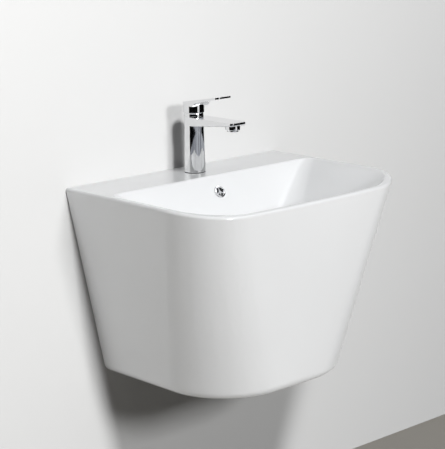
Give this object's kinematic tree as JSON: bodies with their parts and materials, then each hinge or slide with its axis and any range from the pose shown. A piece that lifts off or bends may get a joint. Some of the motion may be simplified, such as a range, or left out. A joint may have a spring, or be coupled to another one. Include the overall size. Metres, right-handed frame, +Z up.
{
  "type": "wall hung basin",
  "caption": "Wall hung ceramic basin with a tapered closed skirt, single-lever mixer tap, chrome overflow ring, push waste and bottle trap",
  "frame": {"origin": "on the wall's face, halfway between the two wall studs, 110 mm below the tap ledge", "axes": "+Z up, +X to the right seen from the front, +Y into the wall, so the user stands at -Y"},
  "size_m": [0.5497, 0.4574, 0.5368],
  "materials": {
    "glaze": "white glaze, high gloss",
    "chrome": "polished chrome plate",
    "brass": "turned, unplated",
    "steel": "zinc plated or stainless, satin",
    "seal": "matt black",
    "trap_white": "moulded, satin",
    "cartridge_grey": "moulded, satin",
    "disc_white": "ground and lapped",
    "bush_white": "moulded, satin",
    "index": "moulded, half red and half blue"
  },
  "bodies": {
    "basin": {"basin_body": "glaze", "overflow_ring": "chrome", "overflow_ring_seal": "seal", "tap_body": "chrome", "tap_base_seal": "seal", "tap_stud": "steel", "tap_clamp_washer": "seal", "tap_clamp_plate": "steel", "tap_clamp_nut": "brass", "aerator_housing": "chrome", "aerator_insert": "cartridge_grey", "aerator_washer": "seal", "cartridge_base": "cartridge_grey", "cartridge_seals": "seal", "cartridge_housing": "cartridge_grey", "cartridge_nut": "brass", "cartridge_dome": "chrome", "fixed_disc": "disc_white", "waste_body": "brass", "waste_flange_gasket": "seal", "waste_lower_gasket": "seal", "waste_backnut": "brass", "click_barrel": "cartridge_grey", "click_spring": "steel", "trap_inlet_nut": "trap_white", "trap_inlet_washer": "seal", "trap_inlet_pipe": "trap_white", "trap_top_nut": "trap_white", "trap_top_seal": "seal", "trap_body": "trap_white", "trap_cup": "trap_white", "trap_cup_seal": "seal", "trap_outlet_nut": "trap_white", "trap_outlet_seal": "seal", "outlet_pipe": "trap_white", "wall_rosette": "trap_white", "hanger_bolts": "steel", "bolt_bushes": "bush_white", "bolt_washers": "steel", "bolt_nuts": "steel"},
    "cartridge_turn": {"cartridge_rotor": "cartridge_grey", "stem_pin": "steel"},
    "lever": {"lever_handle": "chrome", "lever_stem": "steel", "lever_grub_screw": "steel", "index_plug": "index"},
    "mixing_disc": {"moving_disc": "disc_white", "disc_carrier": "cartridge_grey"},
    "plug": {"plug_cap": "chrome", "plug_seal": "seal", "click_plunger": "brass"}
  },
  "joints": [
    {"name": "lever_swing", "type": "hinge", "parent": "basin", "child": "cartridge_turn", "pos_m": [0, -0.057, 0.222], "axis": [0, 0, 1], "range_deg": [-50, 50]},
    {"name": "lever_lift", "type": "hinge", "parent": "cartridge_turn", "child": "lever", "pos_m": [0, -0.057, 0.222], "axis": [-1, 0, 0], "range_deg": [0, 25]},
    {"name": "disc_slide", "type": "slide", "parent": "cartridge_turn", "child": "mixing_disc", "axis": [0, -1, 0], "range_m": [0, 0.004]},
    {"name": "plug_lift", "type": "slide", "parent": "basin", "child": "plug", "axis": [0, 0, 1], "range_m": [0, 0.008], "deforming": ["click_spring"]}
  ],
  "couplings": [
    {"joint": "disc_slide", "follows": "lever_lift", "m_per_rad": 0.009}
  ]
}
